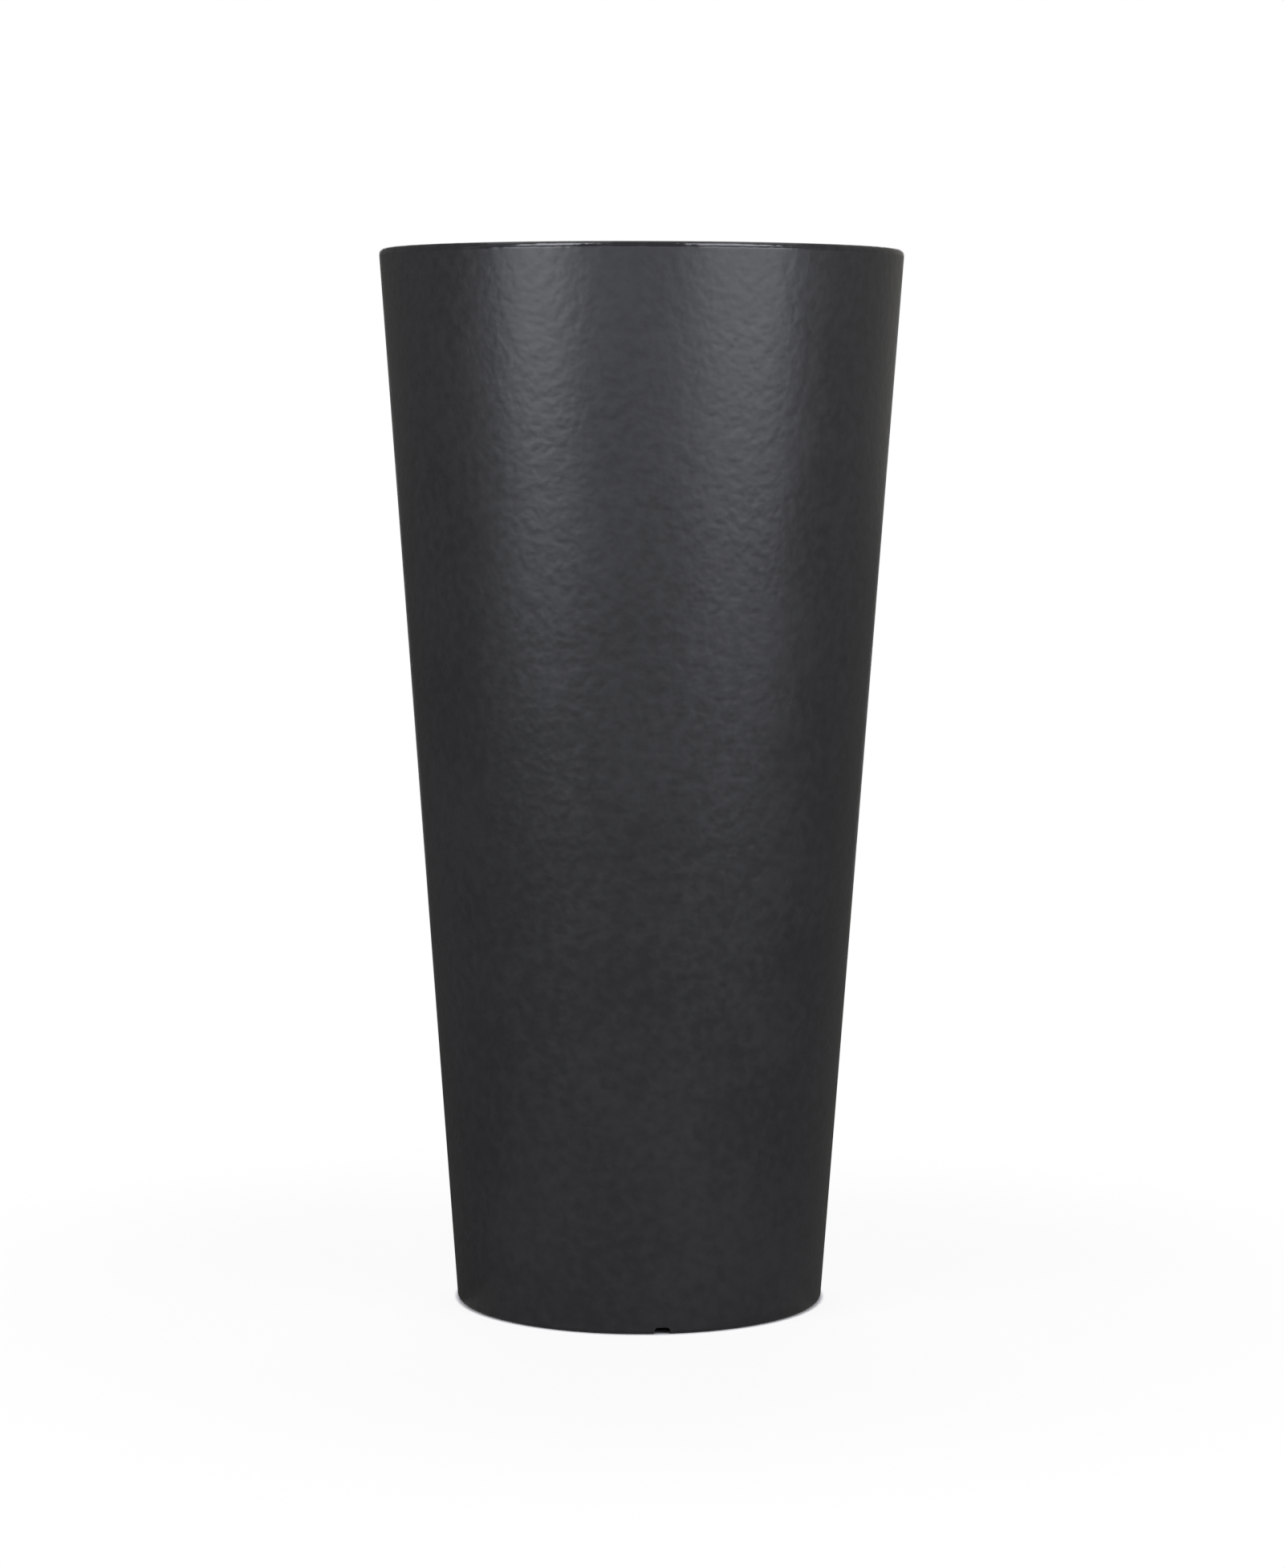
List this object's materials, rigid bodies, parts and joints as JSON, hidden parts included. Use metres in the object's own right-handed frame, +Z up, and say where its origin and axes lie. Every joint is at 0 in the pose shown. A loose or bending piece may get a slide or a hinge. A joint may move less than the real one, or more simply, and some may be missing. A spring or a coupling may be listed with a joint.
{
  "type": "tall planter",
  "caption": "Tall round tapered floor planter with an in-turned rim, a lift-out planting insert with swing handles, a drainage grid and a rubber drain plug in its recessed floor.",
  "frame": {"origin": "centre of the foot ring, on the ground", "axes": "+Z up along the planter's axis, -Y towards the viewer of the picture, +X to that viewer's right"},
  "size_m": [0.3764, 0.3764, 0.762],
  "materials": {
    "shell_plastic": "moulded charcoal plastic with a fine orange-peel texture and a soft sheen",
    "insert_plastic": "plain black moulded plastic",
    "handle_plastic": "black moulded plastic, slightly smoother than the insert",
    "pin_plastic": "smooth dark nylon",
    "grid_plastic": "dark grey moulded plastic",
    "plug_rubber": "black rubber"
  },
  "bodies": {
    "shell": {"outer_shell": "shell_plastic"},
    "insert": {"planting_insert": "insert_plastic", "left_handle_pin_front": "pin_plastic", "left_handle_pin_back": "pin_plastic", "right_handle_pin_front": "pin_plastic", "right_handle_pin_back": "pin_plastic"},
    "left_handle": {"left_handle": "handle_plastic"},
    "right_handle": {"right_handle": "handle_plastic"},
    "grid": {"drainage_grid": "grid_plastic"},
    "plug": {"drain_plug": "plug_rubber"}
  },
  "joints": [
    {"name": "insert_lift", "type": "slide", "parent": "shell", "child": "insert", "axis": [0, 0, 1], "range_m": [0, 0.37]},
    {"name": "left_handle_swing", "type": "hinge", "parent": "insert", "child": "left_handle", "pos_m": [-0.128, 0, 0.7486], "axis": [0, 1, 0], "range_deg": [0, 92]},
    {"name": "right_handle_swing", "type": "hinge", "parent": "insert", "child": "right_handle", "pos_m": [0.128, 0, 0.7486], "axis": [0, -1, 0], "range_deg": [0, 92]},
    {"name": "grid_lift", "type": "slide", "parent": "insert", "child": "grid", "axis": [0, 0, 1], "range_m": [0, 0.38]},
    {"name": "plug_pull", "type": "slide", "parent": "shell", "child": "plug", "axis": [0, 0, 1], "range_m": [0, 0.1]}
  ]
}
